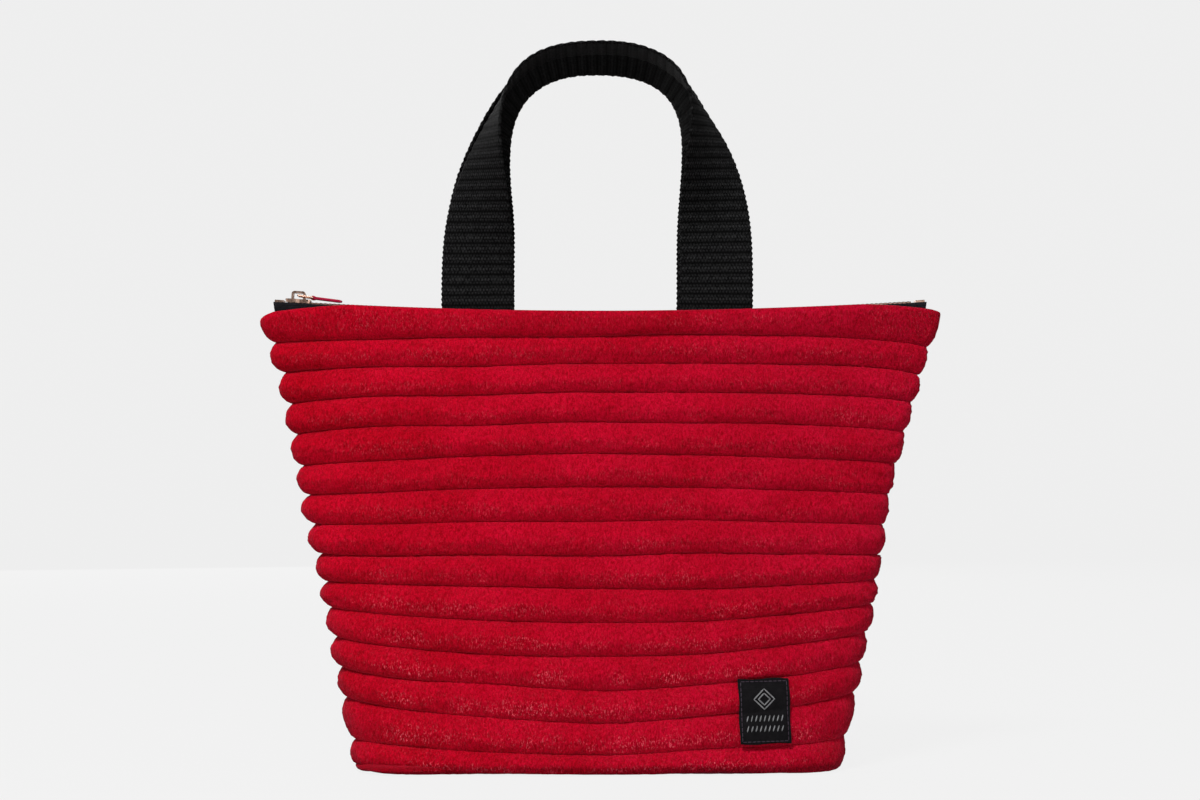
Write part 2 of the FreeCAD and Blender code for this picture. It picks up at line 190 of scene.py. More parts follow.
# ---------------------------------------------------------------- materials
class Material:
    """A short way to build a node material round one Principled shader."""

    def __init__(self, name, **values):
        self.material = bpy.data.materials.new(name)
        self.material.use_nodes = True
        self.tree = self.material.node_tree
        self.shader = self.tree.nodes["Principled BSDF"]
        for key, value in values.items():
            self.shader.inputs[key.replace("_", " ")].default_value = value
        self.coordinates = self.node("ShaderNodeTexCoord")

    def node(self, kind, **settings):
        made = self.tree.nodes.new(kind)
        for key, value in settings.items():
            setattr(made, key, value)
        return made

    def link(self, output, target):
        self.tree.links.new(output, target)

    def place(self, scale=(1, 1, 1), rotation=(0, 0, 0)):
        mapping = self.node("ShaderNodeMapping")
        mapping.inputs["Scale"].default_value = scale
        mapping.inputs["Rotation"].default_value = rotation
        self.link(self.coordinates.outputs["Object"], mapping.inputs["Vector"])
        return mapping.outputs["Vector"]

    def noise(self, vector, scale, detail=2.0, roughness=0.5, distortion=0.0):
        made = self.node("ShaderNodeTexNoise")
        for key, value in (("Scale", scale), ("Detail", detail), ("Roughness", roughness),
                           ("Distortion", distortion)):
            made.inputs[key].default_value = value
        self.link(vector, made.inputs["Vector"])
        return made.outputs["Fac"]

    def spread(self, value, low, high, to_low=0.0, to_high=1.0):
        made = self.node("ShaderNodeMapRange")
        made.inputs["From Min"].default_value = low
        made.inputs["From Max"].default_value = high
        made.inputs["To Min"].default_value = to_low
        made.inputs["To Max"].default_value = to_high
        self.link(value, made.inputs["Value"])
        return made.outputs["Result"]

    def math(self, operation, a, b=None):
        made = self.node("ShaderNodeMath", operation=operation)
        for socket, value in zip(made.inputs, (a, b)):
            if value is None:
                continue
            if isinstance(value, (int, float)):
                socket.default_value = value
            else:
                self.link(value, socket)
        return made.outputs[0]

    def mix(self, factor, a, b, blend="MIX"):
        made = self.node("ShaderNodeMix", data_type="RGBA", blend_type=blend)
        if isinstance(factor, float):
            made.inputs["Factor"].default_value = factor
        else:
            self.link(factor, made.inputs["Factor"])
        for socket, value in ((made.inputs[6], a), (made.inputs[7], b)):
            if isinstance(value, tuple):
                socket.default_value = (*value, 1.0)
            else:
                self.link(value, socket)
        return made.outputs[2]

    def tint(self, tone, color):
        """The tone multiplied by a colour."""
        return self.mix(1.0, tone, color, "MULTIPLY")

    def bump(self, height, distance, strength=1.0, below=None):
        made = self.node("ShaderNodeBump")
        made.inputs["Distance"].default_value = distance
        made.inputs["Strength"].default_value = strength
        self.link(height, made.inputs["Height"])
        if below is not None:
            self.link(below, made.inputs["Normal"])
        return made.outputs["Normal"]

    def finish(self, color=None, normal=None, roughness=None):
        for value, socket in ((color, "Base Color"), (normal, "Normal"), (roughness, "Roughness")):
            if value is not None:
                self.link(value, self.shader.inputs[socket])
        return self.material


def plush_material():
    m = Material("plush", Roughness=0.9, Sheen_Weight=0.2, Sheen_Roughness=0.4,
                 Sheen_Tint=(1.0, 0.15, 0.25, 1.0), Specular_IOR_Level=0.03,
                 Subsurface_Weight=0.15, Subsurface_Scale=0.002)
    m.shader.inputs["Subsurface Radius"].default_value = (1.0, 0.1, 0.15)
    at = m.place()
    broad = m.spread(m.noise(at, 30, 3, 0.6), 0.3, 0.7)
    tone = m.mix(broad, (0.40, 0.0004, 0.0075), (0.50, 0.0010, 0.0140))
    split = m.node("ShaderNodeSeparateXYZ")
    m.link(at, split.inputs[0])
    to_right = m.spread(split.outputs["X"], -0.15, 0.18)
    tone = m.mix(to_right, tone, m.tint(tone, (0.87, 1.8, 1.37)))
    slanted = m.place((1.0, 1.0, 0.45), rotation=(0.0, 0.35, 0.0))
    tufts = m.noise(slanted, 1050, 3, 0.68, 0.9)
    dark = m.tint(tone, (0.63, 0.37, 0.47))
    bright = m.tint(tone, (1.19, 1.9, 1.55))
    tone = m.mix(m.spread(tufts, 0.38, 0.60), dark, bright)
    # Painted highlight: pale pink glints, in patches and short streaks, on the front-facing lower part of
    # each rib, more of them lower down.
    glint_patches = m.spread(m.noise(at, 46, 3, 0.6), 0.34, 0.66)
    facing = m.node("ShaderNodeSeparateXYZ")
    m.link(m.node("ShaderNodeNewGeometry").outputs["Normal"], facing.inputs[0])
    crest = m.spread(m.math("ABSOLUTE", facing.outputs["Y"]), 0.950, 0.990, 0.15, 1.0)
    streaks = m.place((1.0, 1.0, 0.42), rotation=(0.0, 0.45, 0.0))
    glint_streaks = m.spread(m.noise(streaks, 1500, 2, 0.6, 0.6), 0.55, 0.66)
    lower = m.spread(split.outputs["Z"], 0.12, 0.02, 0.20, 0.72)
    # Painted shade: where the surface faces slightly downward, on the lower half of each rib, the tone is
    # darkened.
    below = m.math("MULTIPLY", m.spread(facing.outputs["Z"], 0.26, 0.02),
                   m.spread(facing.outputs["Z"], -0.60, -0.15))
    tone = m.mix(below, tone, m.tint(tone, (0.85, 0.78, 0.81)))
    # Painted highlight: the glint mask and the pale pink colour it paints.
    painted_glint = m.math("MULTIPLY", m.math("MULTIPLY", m.math("MULTIPLY", glint_streaks, glint_patches), crest), lower)
    tone = m.mix(painted_glint, tone, (0.98, 0.15, 0.20))
    # Painted shade: the lowest 3.5 to 6 mm of the plush, under the hem, is darkened.
    tone = m.mix(m.spread(split.outputs["Z"], 0.0035, 0.0060), m.tint(tone, (0.60, 0.55, 0.60)), tone)
    fine = m.bump(m.noise(slanted, 2300, 2, 0.6), 0.0005, 0.8)
    clumps = m.bump(tufts, 0.0007, 0.8, fine)
    return m.finish(tone, clumps)


def webbing_material():
    m = Material("webbing", Roughness=0.85, Sheen_Weight=0.012, Sheen_Roughness=0.5, Specular_IOR_Level=0.06)
    at = m.node("ShaderNodeUVMap", uv_map="Weave").outputs["UV"]
    split = m.node("ShaderNodeSeparateXYZ")
    m.link(at, split.inputs[0])
    across, along = split.outputs["X"], split.outputs["Y"]
    row = m.math("FLOOR", m.math("DIVIDE", along, WEAVE_ROW))
    stagger = m.math("MULTIPLY", m.math("MODULO", row, 2.0), math.pi)
    warp = m.math("SINE", m.math("ADD", m.math("MULTIPLY", across, 2 * math.pi / WEAVE_THREAD), stagger))
    weft = m.math("ABSOLUTE", m.math("SINE", m.math("MULTIPLY", along, math.pi / WEAVE_ROW)))
    weave = m.math("MULTIPLY", m.math("ADD", m.math("MULTIPLY", warp, 0.5), 0.5), weft)
    scatter = m.noise(m.place(), 650, 3, 0.7)
    tone = m.mix(m.spread(m.math("ADD", m.math("MULTIPLY", weave, 0.4), scatter), 0.45, 0.95),
                 (0.0006, 0.0006, 0.0007), (0.0225, 0.0225, 0.0230))
    # Painted shade: the grooves between the cross ribs are darkened.
    groove = m.math("ABSOLUTE", m.math("SINE", m.math("MULTIPLY", along, math.pi / WEB_RIB_PITCH)))
    tone = m.mix(m.spread(groove, 0.05, 0.95), m.tint(tone, (0.05, 0.05, 0.05)), tone)
    lower = m.bump(scatter, 0.0003, 0.8)
    return m.finish(tone, m.bump(weave, 0.00035, 0.7, lower))


def weave_material(name, dark, light, pitch, roughness=0.8):
    """A fine plain weave that needs no UVs."""
    m = Material(name, Roughness=roughness, Sheen_Weight=0.03, Specular_IOR_Level=0.1)
    at = m.place()
    checks = m.node("ShaderNodeTexVoronoi", feature="F1")
    checks.inputs["Scale"].default_value = 1 / pitch
    checks.inputs["Randomness"].default_value = 0.25
    m.link(at, checks.inputs["Vector"])
    height = m.spread(checks.outputs["Distance"], 0.0, 0.7, 1.0, 0.0)
    tone = m.mix(m.spread(m.noise(at, 300, 3, 0.6), 0.3, 0.7), dark, light)
    return m.finish(tone, m.bump(height, pitch * 0.4, 0.8))


def metal_material(name, dark, light, roughness):
    m = Material(name, Metallic=1.0)
    at = m.place()
    wear = m.noise(at, 450, 4, 0.6)
    tone = m.mix(m.spread(wear, 0.3, 0.7), dark, light)
    rough = m.spread(m.noise(at, 900, 3, 0.6), 0.3, 0.7, roughness - 0.08, roughness + 0.12)
    return m.finish(tone, m.bump(wear, 0.00008, 0.5), rough)


def foam_material():
    m = Material("padding", Roughness=0.95)
    at = m.place()
    cells = m.noise(at, 1500, 2, 0.6)
    return m.finish(m.mix(cells, (0.62, 0.58, 0.5), (0.8, 0.77, 0.7)), m.bump(cells, 0.0004, 0.8))


PLUSH = plush_material()
WEBBING = webbing_material()
TAPE = weave_material("zip_tape", (0.003, 0.003, 0.004), (0.009, 0.009, 0.012), 0.0009)
LINING = weave_material("lining", (0.008, 0.008, 0.009), (0.014, 0.014, 0.016), 0.0006)
LABEL = weave_material("label", (0.0015, 0.0012, 0.0018), (0.0050, 0.0042, 0.0052), 0.0005)
BOARD = weave_material("board", (0.01, 0.01, 0.01), (0.02, 0.02, 0.02), 0.002)
THREAD = weave_material("thread", (0.030, 0.020, 0.030), (0.07, 0.05, 0.07), 0.0003)
MOTIF = weave_material("label_thread", (0.14, 0.14, 0.145), (0.26, 0.26, 0.27), 0.0003)
PULL = weave_material("pull_cord", (0.30, 0.004, 0.03), (0.46, 0.01, 0.05), 0.0007, 0.55)
COPPER = metal_material("copper_metal", (0.34, 0.21, 0.155), (0.55, 0.37, 0.29), 0.32)
ZIP_METAL = metal_material("zip_metal", (0.25, 0.16, 0.12), (0.50, 0.34, 0.27), 0.35)
FOAM = foam_material()


def dress(obj, material, body):
    """Gives a piece its material and finish, and makes it ride on a body if one is named."""
    obj.data.materials.clear()
    obj.data.materials.append(material)
    if body:
        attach(obj, body)
    return obj


# ---------------------------------------------------------------- the outer form of the bag
def half_width(z):
    return BASE_HALF_WIDTH + (TOP_HALF_WIDTH - BASE_HALF_WIDTH) * z / TOP_Z


def half_depth(z):
    share = np.minimum(1.0, z / SHOULDER_Z)
    return BASE_HALF_DEPTH + (TOP_HALF_DEPTH - BASE_HALF_DEPTH) * share


def slump(x, z):
    """x, moved in where the sides of the bag hang in."""
    right, left = np.clip(x / half_width(z), 0, 1), np.clip(-x / half_width(z), 0, 1)
    return (x - np.interp(z, RIGHT_HEIGHTS, RIGHT_INWARD) * right ** 1.5
            + np.interp(z, LEFT_HEIGHTS, LEFT_INWARD) * left ** 1.5)


def squareness(z):
    """Exponent of the superellipse that is the bag's plan at height z."""
    return 5.0 + 3.0 * (z / TOP_Z) ** 2


def outline(z, inset, columns):
    """Half the bag's plan at height z, from the -X seam round the front to the +X seam.

    Gives x, y, the outward normal's x and y, and the distance round, one value for each column.
    """
    w, d, n = half_width(z) - inset, half_depth(z) - inset, squareness(z)
    t = np.linspace(0, 1, 1201)
    turn = np.where(t < 0.5, 0.5 * np.pi * (2 * t) ** 5, np.pi - 0.5 * np.pi * (2 - 2 * t) ** 5)
    x = -w * np.cos(turn)
    y = -d * np.clip(1 - np.abs(np.cos(turn)) ** n, 0, 1) ** (1 / n)
    run = np.concatenate([[0], np.cumsum(np.hypot(np.diff(x), np.diff(y)))])
    at = columns * run[-1]
    x, y = np.interp(at, run, x), np.interp(at, run, y)
    nx = np.sign(x) * (np.abs(x) / w) ** (n - 1) / w
    ny = -(np.abs(y) / d) ** (n - 1) / d
    size = np.hypot(nx, ny)
    return x, y, nx / size, ny / size, at


def rib_lines():
    """Heights of the valleys between ribs at the middle of the panel."""
    middle = (RIBS - 1) / 2
    off = (np.arange(RIBS) - middle) / middle
    widths = RIB_WIDTH - np.where(off > 0, RIB_NARROWING_ABOVE, RIB_NARROWING_BELOW) * off ** 2
    widths[0] = LOWEST_RIB_WIDTH
    heights = np.concatenate([[0], np.cumsum(widths)])
    return LOWEST_VALLEY + (TOP_EDGE - LOWEST_VALLEY) * heights / heights[-1]


def rise(z, share, back):
    """How far a rib line at height z is raised at a share of the half width towards a side seam."""
    shape = np.interp(z, RISE_HEIGHTS, RISE_AT_SEAM)
    sides = np.where(share > 0, RISE_RIGHT, RISE_LEFT)
    slip = np.where(share > 0, BACK_SLIP_RIGHT, BACK_SLIP_LEFT) * np.sin(np.pi * z / TOP_Z) if back else 0.0
    right = np.clip(share, 0, 1)
    lift = RIGHT_LIFT * np.exp(-((z - RIGHT_LIFT_Z) / RIGHT_LIFT_REACH) ** 2) * np.sin(np.pi / 2 * right)
    fall = CORNER_FALL * np.exp(-((z - CORNER_FALL_Z) / CORNER_FALL_REACH) ** 2) * right ** 8
    return (shape * sides + slip) * share ** 2 + lift - fall


def rib_shape(t):
    """Swell of a rib, 0 in the valleys at t 0 and 1, and 1 at the crest."""
    return (1 - np.abs(2 * t - 1) ** 1.8) ** 0.6


def panel_rows(rows_per_rib):
    """One entry for each row of a panel: height, offset from the bag's form, swell, rib, noise weight."""
    lines = rib_lines()
    rows = []
    for k in range(RIBS - 1):
        for i in range(rows_per_rib):
            t = (1 - math.cos(math.pi * i / rows_per_rib)) / 2
            swell = float(rib_shape(t))
            rows.append((lines[k] + t * (lines[k + 1] - lines[k]),
                         CREST_PROUD + RIB_RELIEF * (swell - 1), swell, k, 1.0))
    low, high = lines[-2], lines[-1]
    middle, reach = (low + high) / 2, (high - low) / 2
    for i in range(rows_per_rib // 2):
        t = (1 - math.cos(math.pi * i / rows_per_rib)) / 2
        swell = float(rib_shape(t))
        rows.append((low + t * (high - low), CREST_PROUD + RIB_RELIEF * (swell - 1), swell, RIBS - 1, 1.0))
    half_roll = (CREST_PROUD - INNER_OFFSET) / 2
    for i in range(rows_per_rib):
        a = math.pi * i / rows_per_rib
        rows.append((middle + reach * math.sin(a), CREST_PROUD - half_roll + half_roll * math.cos(a),
                     1.0, RIBS - 1, (1 + math.cos(a)) / 2))
    for z in np.linspace(middle, lines[0], 9):
        rows.append((z, INNER_OFFSET, 0.0, 0, 0.0))
    return rows


TOP_RIB_MIDDLE = (rib_lines()[-2] + rib_lines()[-1]) / 2


def upper_edge(x):
    """Height of the panel's upper edge: along the arc of the zip, with lower, rounded ends."""
    pick = (x > 0).astype(int)
    follows, fall = np.take(EDGE_FOLLOWS, pick), np.take(EDGE_FALL, pick)
    width, drop = np.take(CORNER_WIDTH, pick), np.take(CORNER_DROP, pick)
    past = np.clip((np.abs(x) - follows) / (TOP_HALF_WIDTH - follows), 0, 1)
    height = EDGE_ABOVE_ZIP + ZIP_MIDDLE_Z + x * x / (2 * ZIP_RADIUS)
    height = height - past ** 1.15 * (fall + (x * x - follows ** 2) / (2 * ZIP_RADIUS))
    into_corner = np.clip(1 - (TOP_HALF_WIDTH - np.abs(x)) / width, 0, 0.999)
    return height - drop * (1 - np.sqrt(1 - into_corner ** 2))


def wall_object(name, points, back):
    """Closes the rows of a wall's points into one form, turned round if it is the back wall."""
    if back:
        points[:, :, 0] *= -1
        points[:, :, 1] *= -1
    rows, columns = points.shape[:2]
    faces = grid_faces(rows, columns, True, False)
    faces.append(tuple(i * columns for i in range(rows)))
    faces.append(tuple(i * columns + columns - 1 for i in reversed(range(rows))))
    return mesh_object(name, points.reshape(-1, 3), faces)


def plush_panel(name, back, seed):
    """A ribbed plush panel as one closed form, drawn as the front and turned round for the back."""
    columns = np.linspace(0, 1, 381)
    rows = panel_rows(14)
    points = np.zeros((len(rows), len(columns), 3))
    for i, (z, offset, swell, rib, weight) in enumerate(rows):
        x, y, nx, ny, along = outline(z, 0.0, columns)
        share = x / half_width(z)
        height = z + rise(z, -share if back else share, back)
        level = np.full_like(along, z)
        height = height + uneven(WANDER, along, level, seed) * weight
        above = np.clip((z - TOP_RIB_MIDDLE) / (TOP_EDGE - TOP_RIB_MIDDLE), 0, 1)
        height = height + above * (upper_edge(-x if back else x) - height)
        spread_x, spread_y = half_width(height) / half_width(z), half_depth(height) / half_depth(z)
        x, y = x * spread_x, y * spread_y
        puff = uneven(PUFF, along, np.full_like(along, rib * 0.05), seed + 1)
        dent = uneven(DENT, along, level, seed + 2)
        tuft = uneven(TUFT, along, level, seed + 3)
        fleece = uneven(FLEECE, along, level, seed + 4)
        from_left, from_right = (along[-1] - along, along) if back else (along, along[-1] - along)
        ragged = uneven(RAGGED, along, level, seed + 5) * np.exp(-from_right / RAGGED_REACH)
        deeper = fading(DEEPER_LEFT, from_left) - fading(FLATTER_RIGHT, from_right)
        out = offset + weight * (swell * (puff + dent) + tuft + fleece + ragged)
        out = out + weight * deeper * RIB_RELIEF * (swell - 0.75)
        pinch = fading(PINCH_LEFT, from_left) + fading(PINCH_RIGHT, from_right)
        if offset > INNER_OFFSET:
            out = np.maximum(out - pinch, INNER_OFFSET + THINNEST_PLUSH)
        points[i, :, 0] = slump(-x if back else x, height) * (-1 if back else 1) + nx * out
        points[i, :, 1] = y + ny * out
        hem = LOWEST_VALLEY + HEM_LIFT * np.clip((x if back else -x) / BASE_HALF_WIDTH, 0, 1) ** 2
        points[i, :, 2] = np.maximum(height - RIB_DROOP * swell * weight, hem)
    points[:, 0, 1] = points[:, -1, 1] = 0.0
    points[:, :, 1] += SEAM_OVERLAP
    return wall_object(name, points, back)


def smooth_wall(name, low, high, outer, inner, back):
    """A plain layer of the wall, such as foam or lining, as a closed form."""
    columns = np.linspace(0, 1, 90)
    heights = np.linspace(low, high, 24)
    levels = [(z, outer) for z in heights] + [(z, inner) for z in heights[::-1]]
    points = np.zeros((len(levels), len(columns), 3))
    for i, (z, inset) in enumerate(levels):
        x, y, _, _, _ = outline(z, inset, columns)
        x = slump(-x if back else x, z) * (-1 if back else 1)
        points[i] = np.stack([x, y + SEAM_OVERLAP, np.full_like(x, z)], axis=1)
    return wall_object(name, points, back)


def full_ring(z, inset, count):
    """The whole plan of the bag at height z, as a closed ring of x and y."""
    x, y, _, _, _ = outline(z, inset, np.linspace(0, 1, count + 1))
    ring_x = np.concatenate([x[:-1], -x[:-1]])
    ring_y = np.concatenate([y[:-1], -y[:-1]])
    return ring_x, ring_y


def base_layer(name, low, high, inset, ribbed=False):
    """A flat layer of the base with a rounded rim, ribbed on its underside if it is plush."""
    count = 150 if ribbed else 60
    ring_x, ring_y = full_ring(low, inset, count)
    middle, half = (low + high) / 2, (high - low) / 2
    rim = half / BASE_HALF_DEPTH
    stations = [(s, low) for s in np.linspace(0.01, 1 - rim, 44 if ribbed else 8)]
    under = len(stations)
    for a in np.radians(np.linspace(-80, 80, 11)):
        stations.append((1 - rim * (1 - math.cos(a)), middle + half * math.sin(a)))
    stations += [(s, high) for s in np.linspace(1 - rim, 0.01, 8)]
    points = np.zeros((len(stations), len(ring_x), 3))
    for i, (share, z) in enumerate(stations):
        x, y = ring_x * share, ring_y * share
        height = np.full_like(x, z)
        if ribbed and i < under + 6:
            t = np.mod(np.abs(y) / (2 * BASE_HALF_DEPTH / BASE_RIBS), 1.0)
            fade = min(1.0, (under + 6 - i) / 6)
            height = height + BASE_RIB_RELIEF * (1 - rib_shape(t)) * fade
            height = height + 0.0002 * np.abs(smooth_noise(x + 0.2, y + 0.2, 0.003, 71)) * fade
        if ribbed:
            to_left = np.clip(-x / BASE_HALF_WIDTH, 0, 1) ** 2 * share ** 8
            x = x - BASE_SPREAD * to_left + 0.0004 * smooth_noise(x + 0.2, y + 0.2, 0.004, 73) * share ** 8
            corner = np.exp(-((x + CORNER_X) / CORNER_REACH) ** 2) * (y < 0) * share ** 8
            y = y * (1 + BASE_SPREAD / BASE_HALF_DEPTH * to_left + CORNER_PULL * corner)
        points[i] = np.stack([slump(x, height), y, height], axis=1)
    return tube(name, points)


# ---------------------------------------------------------------- webbing handles
def handle_line(t, half_spacing, bow_height):
    """One half of a handle's middle line at t, drawn to the left: x, rise and unit direction, as arrays."""
    ends = np.array([(-half_spacing, 0.0), (-half_spacing - LEG_BOW, bow_height), (-TOP_PULL, HANDLE_RISE),
                     (0.0, HANDLE_RISE)])
    share = np.stack([(1 - t) ** 3, 3 * t * (1 - t) ** 2, 3 * t * t * (1 - t), t ** 3], axis=1)
    slope = np.stack([3 * (1 - t) ** 2, 6 * t * (1 - t), 3 * t * t], axis=1)
    spot = share @ ends
    run = slope @ np.diff(ends, axis=0)
    run /= np.linalg.norm(run, axis=1)[:, None]
    return spot[:, 0], spot[:, 1], run[:, 0], run[:, 1]


def handle_stations(half_spacing, spacing):
    """Evenly spaced stations from one sewn end over the top to the other: x, rise, dx, drise, distance."""
    t = np.linspace(0, 1, 801)
    left = handle_line(t, half_spacing, LEFT_BOW_HEIGHT)
    right = handle_line(t[-2::-1], half_spacing, RIGHT_BOW_HEIGHT)
    x, z, dx, dz = (np.concatenate([a, sign * b]) for a, b, sign in zip(left, right, (-1, 1, 1, -1)))
    run = np.concatenate([[0], np.cumsum(np.hypot(np.diff(x), np.diff(z)))])
    total = run[-1]
    at = np.linspace(-TAIL_LENGTH, total + TAIL_LENGTH, int((total + 2 * TAIL_LENGTH) / spacing))
    tail = np.minimum(at, 0.0) + np.minimum(total - at, 0.0)
    x, z, dx, dz = (np.interp(at, run, v) for v in (x, z, dx, dz))
    return x, z + tail, dx, dz, at + TAIL_LENGTH


def handle(name, centre_x, half_spacing, top_lift, side, seed):
    """A woven strap with cross ribs and knobbly edges."""
    spacing = 0.00075
    x, z, dx, dz, along = handle_stations(half_spacing, spacing)
    share = np.clip(z / TWIST_LENGTH, 0, 1)
    delay = np.where((x > 0) & (side < 0), RIGHT_TWIST_DELAY, 1.0)
    twist = (FRONT_TWIST if side < 0 else BACK_TWIST) * (share * share * (3 - 2 * share)) ** delay
    lean = (LEG_FROM_MIDDLE ** 4 + (RIDGE_CLEARANCE + WEB_WIDTH / 2 * np.sin(twist)) ** 4) ** 0.25
    sway = (HANDLE_TOP_X - centre_x) * (np.maximum(z, 0) / HANDLE_RISE) ** 2
    lift = top_lift * share ** 2
    centre = np.stack([centre_x + sway + x, side * lean, TOP_Z + HANDLE_GAP + z + lift], axis=1)
    direction = np.stack([dx, np.zeros_like(dx), dz], axis=1)
    across = np.stack([-dz * np.cos(twist), -side * np.sin(twist), dx * np.cos(twist)], axis=1)
    through = np.cross(direction, across)
    wobble = 0.0006 * smooth_noise(along, np.zeros_like(along), 0.03, seed)
    centre = centre + through * (wobble * np.clip(z / 0.02, 0, 1))[:, None]
    w = np.linspace(-1, 1, 24)
    thick = WEB_THICKNESS / 2
    ring = [(a, 1) for a in w] + [(a, -1) for a in w[::-1]]
    groove = np.abs(np.sin(np.pi * along / WEB_RIB_PITCH)) ** 0.5
    edge_knobs = 0.00030 * np.sin(2 * np.pi * along / 0.0027)
    points = np.zeros((len(along), len(ring), 3))
    uv = np.zeros((len(along), len(ring), 2))
    for j, (a, face) in enumerate(ring):
        rim = math.sqrt(max(0.0, 1 - abs(a) ** 14))
        swell = thick * (0.55 + 0.45 * rim) - WEB_RIB_RELIEF * (1 - groove)
        swell = swell + 0.00006 * smooth_noise(along, np.full_like(along, (a + 1) * 0.02), 0.002, seed + 1)
        reach = a * (WEB_WIDTH / 2 + edge_knobs)
        points[:, j] = centre + across * reach[:, None] + through * (face * swell)[:, None]
        uv[:, j] = np.stack([np.full_like(along, (a + 1) * WEB_WIDTH / 2), along], axis=1)
    return tube(name, points, uv, flip=True)


# ---------------------------------------------------------------- zip
def on_zip(x, y, up):
    """A point of the zip at distance x along its arc, y across it and up from its middle."""
    a = x / ZIP_RADIUS
    r = ZIP_RADIUS - up
    return np.stack([r * np.sin(a), y, ZIP_MIDDLE_Z + ZIP_RADIUS - r * np.cos(a)], axis=-1)


def zip_tape(name, side):
    t = 0.0003
    outline_yz = [(0.0021, t), (0.0034, t), (0.0046, t), (0.0051, -0.0002), (0.0054, -0.0010),
                  (0.0055, -0.003), (0.0055, -0.008), (0.0055, -0.0145), (0.0049, -0.0145), (0.0049, -0.008),
                  (0.0049, -0.003), (0.0048, -0.0011), (0.0045, -t), (0.0034, -t), (0.0021, -t)]
    x = np.linspace(TAPE_LEFT, TAPE_RIGHT, 350)
    points = np.zeros((len(x), len(outline_yz), 3))
    for j, (y, up) in enumerate(outline_yz):
        ripple = 0.00012 * smooth_noise(x + 0.2, np.full_like(x, 0.01), 0.006, 31)
        trimmed = x * (1 + TAPE_END_SLANT * up / TAPE_RIGHT)
        points[:, j] = on_zip(trimmed, side * y + 0 * x, up + ripple)
    return tube(name, points, flip=side > 0)


def pull_tab(name):
    """A strip folded round the end of the link, sewn flat and rounded at its end."""
    low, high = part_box("pull_tab")
    link_low, link_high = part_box("pull_link")
    bar = np.array([link_high.x - 0.0006, 0.0, link_low.z + 0.0006])
    tip = np.array([high.x, 0.0, low.z + 0.0010])
    run = tip - bar
    length = np.linalg.norm(run)
    run /= length
    up = np.array([-run[2], 0.0, run[0]])
    eye, half = 0.0012, 0.0008
    points = []
    for s in np.linspace(-eye, length, 60):
        if s < 0.0016:
            swell = math.sqrt(max(0.02, 1 - (s / 0.0021) ** 2)) * eye
            thick = max(half, swell) if s > 0 else max(0.00012, math.sqrt(max(0.0, eye ** 2 - s ** 2)))
        else:
            thick = half
        end = min(1.0, (length - s) / 0.0016)
        reach = high.y * (0.3 + 0.7 * math.sqrt(max(0.0, 1 - (1 - end) ** 2)))
        thick *= 0.6 + 0.4 * end
        ring = []
        for a in np.linspace(0, 2 * math.pi, 24, endpoint=False):
            c, q = math.cos(a), math.sin(a)
            y = reach * math.copysign(abs(c) ** 0.4, c)
            h = thick * math.copysign(abs(q) ** 0.4, q)
            ring.append(bar + run * s + up * h + np.array([0, y, 0]))
        points.append(ring)
    return tube(name, np.array(points))


# ---------------------------------------------------------------- label
label_low, label_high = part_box("label")
LABEL_X, LABEL_Z = (label_low.x + label_high.x) / 2, (label_low.z + label_high.z) / 2
LABEL_HALF = (0.0130, 0.0163)
LABEL_TURN = math.radians(1.5)
LABEL_OFF_PLUSH, LABEL_THICKNESS, RIB_UNDER_LABEL = 0.0006, 0.0006, 0.0016
BORDER_INSET, STITCH_GAP = 0.0013, 0.0004
DIAMONDS, DIAMOND_MIDDLE = (0.0030, 0.0052), 0.0062
BARS, BAR_START, BAR_STITCHES, BAR_PITCH = (-0.0035, -0.0085), -0.0088, 9, 0.0022


def front_face(x, z):
    """How far in front of the bag's middle the plush comes at x, z, with the ribs pressed flatter."""
    share = x / half_width(z)
    line = z
    for _ in range(4):
        line = z - rise(line, share, False)
    lines = rib_lines()
    k = np.clip(np.searchsorted(lines, line) - 1, 0, RIBS - 1)
    t = np.clip((line - lines[k]) / (lines[k + 1] - lines[k]), 0, 1)
    n = squareness(z)
    form = half_depth(z) * (1 - np.abs(share) ** n) ** (1 / n)
    return form + CREST_PROUD + RIB_UNDER_LABEL * (np.sin(np.pi * t) - 1)


def on_label(a, b, height):
    """A point of the label: a across and b up from its middle, height off its back."""
    c, s = math.cos(LABEL_TURN), math.sin(LABEL_TURN)
    x = LABEL_X + a * c - b * s
    z = LABEL_Z + a * s + b * c
    return np.stack([x, -(front_face(x, z) + LABEL_OFF_PLUSH + height), z], axis=-1)


def label_cloth(name):
    """The woven patch, following the ribs under it."""
    steps_a, steps_b = 56, 70
    a, b = np.meshgrid(np.linspace(-1, 1, steps_a), np.linspace(-1, 1, steps_b))
    a, b = a * LABEL_HALF[0] + 0.0002 * np.sin(b * 5), b * LABEL_HALF[1] + 0.0003 * np.sin(a * 4)
    front = on_label(a, b, np.full_like(a, LABEL_THICKNESS))
    back = on_label(a, b, np.full_like(a, -0.0001))
    points = np.concatenate([front.reshape(-1, 3), back.reshape(-1, 3)])
    shift = steps_a * steps_b
    faces = grid_faces(steps_b, steps_a, False, False)
    faces += [tuple(v + shift for v in f[::-1]) for f in grid_faces(steps_b, steps_a, False, False)]
    rim = list(range(steps_a))
    rim += [i * steps_a + steps_a - 1 for i in range(1, steps_b)]
    rim += [(steps_b - 1) * steps_a + j for j in range(steps_a - 2, -1, -1)]
    rim += [i * steps_a for i in range(steps_b - 2, 0, -1)]
    for p, q in zip(rim, rim[1:] + rim[:1]):
        faces.append((p, p + shift, q + shift, q))
    return mesh_object(name, points, faces)


